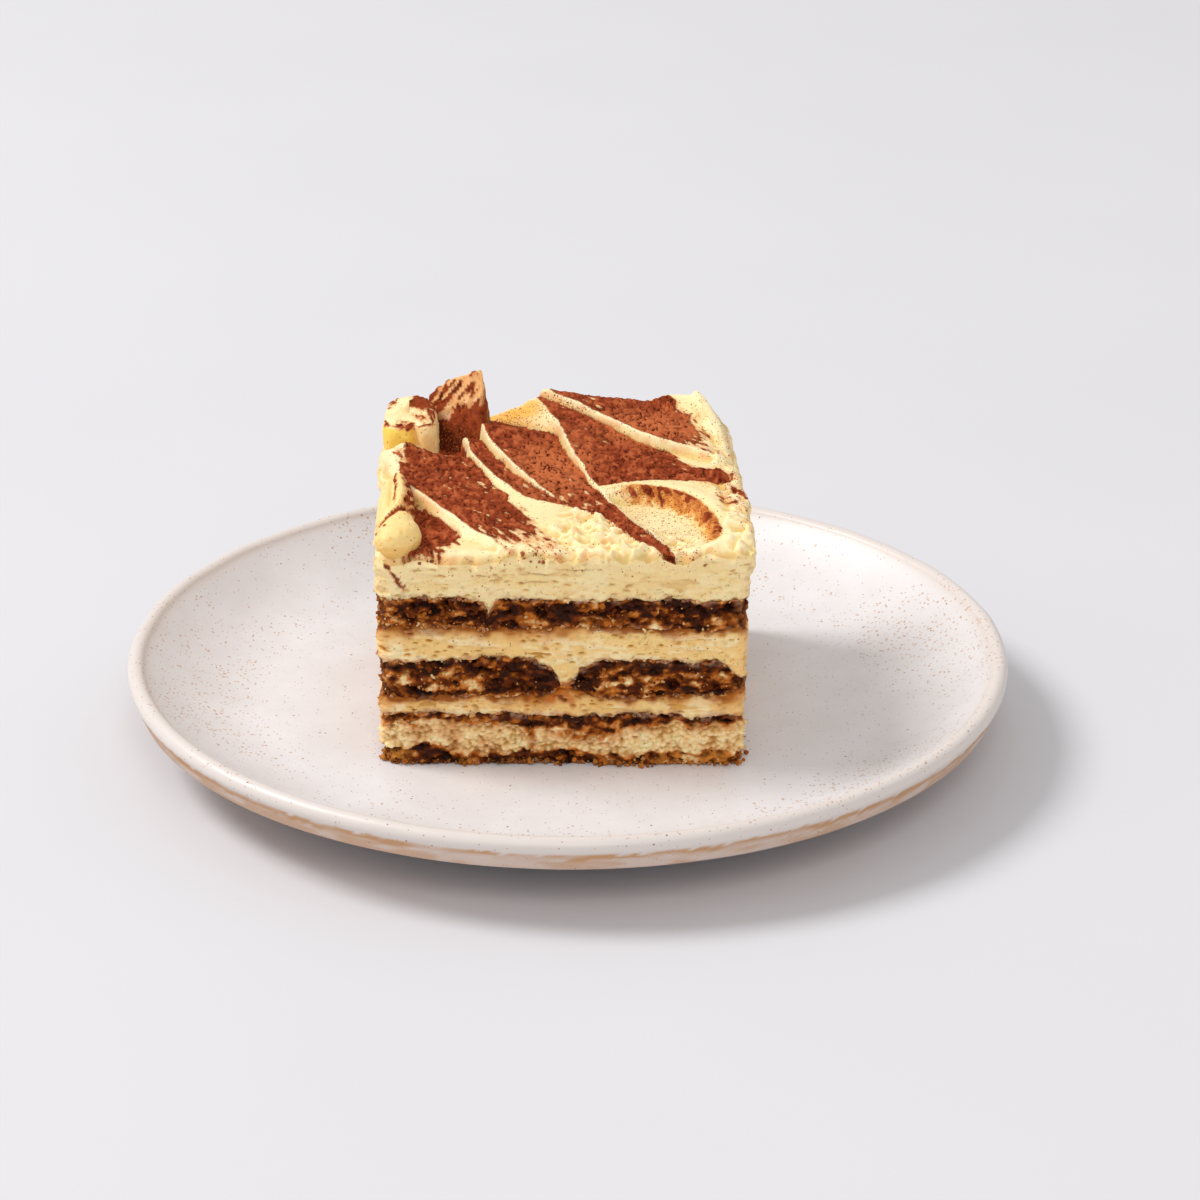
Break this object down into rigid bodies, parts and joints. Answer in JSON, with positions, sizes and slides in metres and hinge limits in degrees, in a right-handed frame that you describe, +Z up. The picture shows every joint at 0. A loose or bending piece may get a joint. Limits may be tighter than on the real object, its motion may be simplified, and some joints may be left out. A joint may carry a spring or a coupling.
{
  "type": "tiramisu portion",
  "caption": "Cut rectangular portion of tiramisu with layers of soaked sponge fingers and cream and a swirled, cocoa-dusted top, on its round rimmed stoneware dessert plate.",
  "frame": {"origin": "middle of the plate's foot, on the table", "axes": "+Z up; +X to the right and +Y to the back when the cut side that shows the layers faces the viewer, towards -Y"},
  "size_m": [0.2, 0.2, 0.0728],
  "materials": {
    "plate_glaze": "satin",
    "pale_sponge": "matte",
    "soaked_sponge": "matte",
    "cream": "satin",
    "cocoa": "matte"
  },
  "bodies": {
    "root": {"plate": "plate_glaze", "bottom_biscuit_left": "pale_sponge", "bottom_biscuit_right": "pale_sponge", "cream_lower": "cream", "middle_biscuit_left": "soaked_sponge", "middle_biscuit_right": "soaked_sponge", "cream_middle": "cream", "top_biscuit_left": "soaked_sponge", "top_biscuit_right": "soaked_sponge", "cream_top": "cream"}
  },
  "joints": []
}
